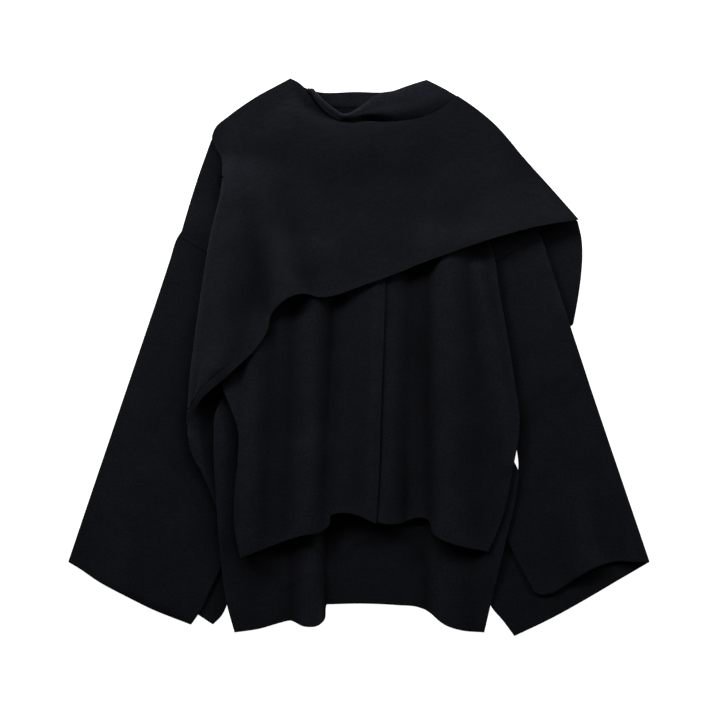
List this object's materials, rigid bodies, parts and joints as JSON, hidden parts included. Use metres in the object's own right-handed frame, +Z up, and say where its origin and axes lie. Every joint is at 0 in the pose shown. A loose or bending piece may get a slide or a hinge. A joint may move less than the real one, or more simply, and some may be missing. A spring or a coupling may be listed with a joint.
{
  "type": "knit cape",
  "caption": "Knit cape laid flat: a boxy knitted jacket with wide flared sleeves under a slanting cape that rolls under at one side and folds at the neck.",
  "frame": {"origin": "centre of the bounding box on the surface that the garment lies on", "axes": "+X to the viewer's right (the wearer's left), +Y towards the neck, +Z up from the surface"},
  "size_m": [0.752, 0.7207, 0.0333],
  "materials": {
    "body_knit": "felted double knit, matte with a soft nap",
    "cape_knit": "felted double knit, matte with a soft nap",
    "collar_knit": "felted double knit, matte with a soft nap",
    "sleeve_knit": "felted double knit, matte with a soft nap"
  },
  "bodies": {
    "root": {"body_back": "body_knit", "body_front_left": "body_knit", "body_front_right": "body_knit", "cape_back": "cape_knit", "cape_front": "cape_knit", "collar_back": "collar_knit", "collar_front": "collar_knit", "sleeve_left_back": "sleeve_knit", "sleeve_left_front": "sleeve_knit", "sleeve_right_back": "sleeve_knit", "sleeve_right_front": "sleeve_knit"}
  },
  "joints": []
}
